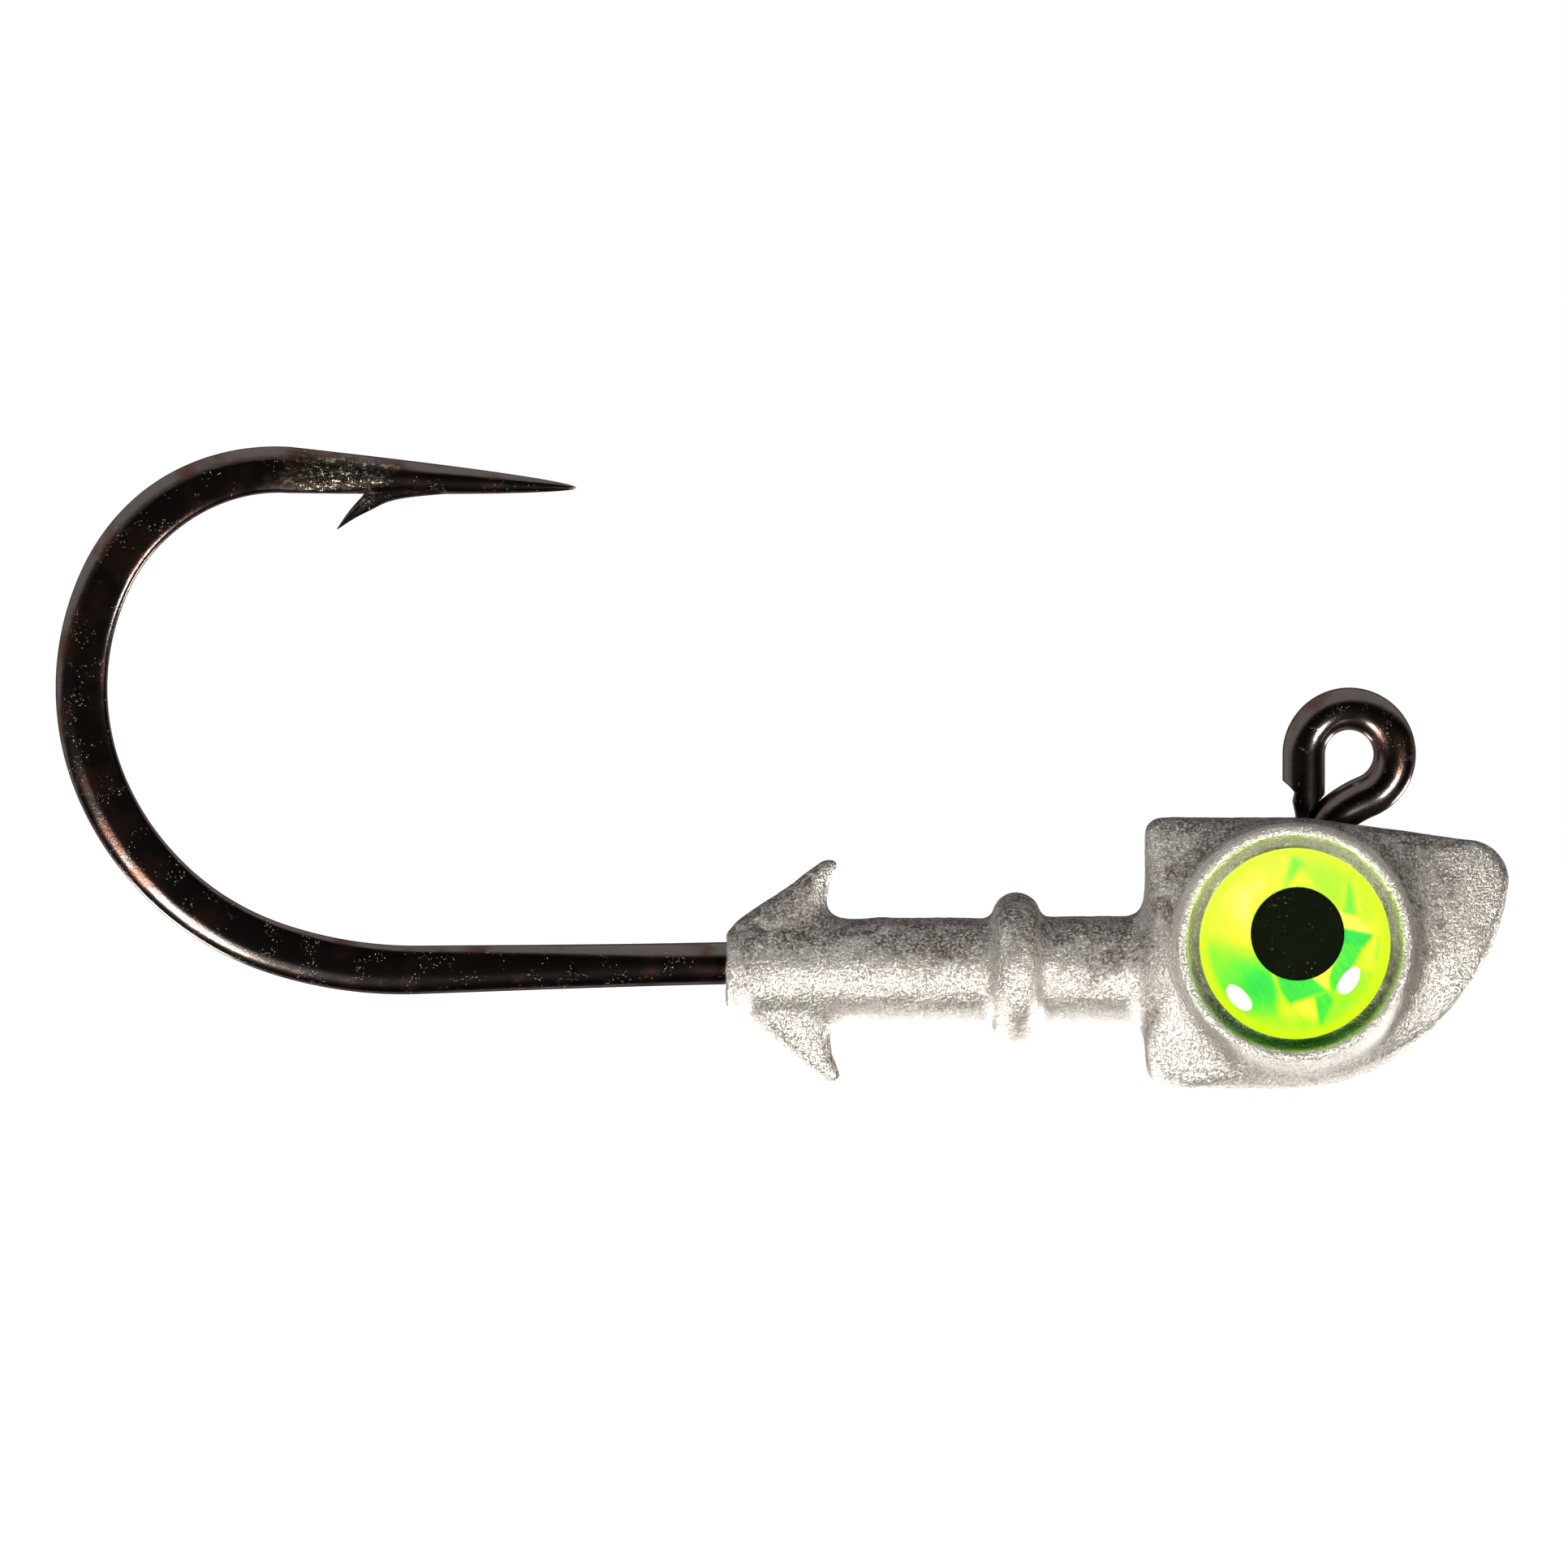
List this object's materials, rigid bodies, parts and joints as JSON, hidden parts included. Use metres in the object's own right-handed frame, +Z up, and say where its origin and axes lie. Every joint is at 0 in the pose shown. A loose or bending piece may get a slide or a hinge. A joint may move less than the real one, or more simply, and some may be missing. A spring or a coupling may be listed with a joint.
{
  "type": "jig head",
  "caption": "Bare lead-alloy jig head cast round a black-nickel hook, with a ringed bait collar, keeper spikes and stick-on holographic eyes.",
  "frame": {"origin": "centre of the line eye, the wire ring that the fishing line is tied to", "axes": "+X forward to the nose, +Y to the fish's left, +Z up as the jig hangs from its line; the hook lies in the XZ plane"},
  "size_m": [0.0533, 0.0086, 0.0236],
  "materials": {
    "cast_lead": "bare as-cast lead alloy, fine sandy grain, grey oxide",
    "black_nickel": "polished black-nickel plating on forged wire",
    "iris_foil": "holographic crackle foil, lime yellow with green shards",
    "pupil_ink": "black print with fine specks",
    "clear_resin": "clear domed resin, polished",
    "foam_pad": "white pressure-sensitive adhesive pad"
  },
  "bodies": {
    "root": {"head_casting": "cast_lead", "hook": "black_nickel", "left_adhesive_pad": "foam_pad", "left_iris_foil": "iris_foil", "left_pupil_print": "pupil_ink", "left_clear_dome": "clear_resin", "right_adhesive_pad": "foam_pad", "right_iris_foil": "iris_foil", "right_pupil_print": "pupil_ink", "right_clear_dome": "clear_resin"}
  },
  "joints": []
}
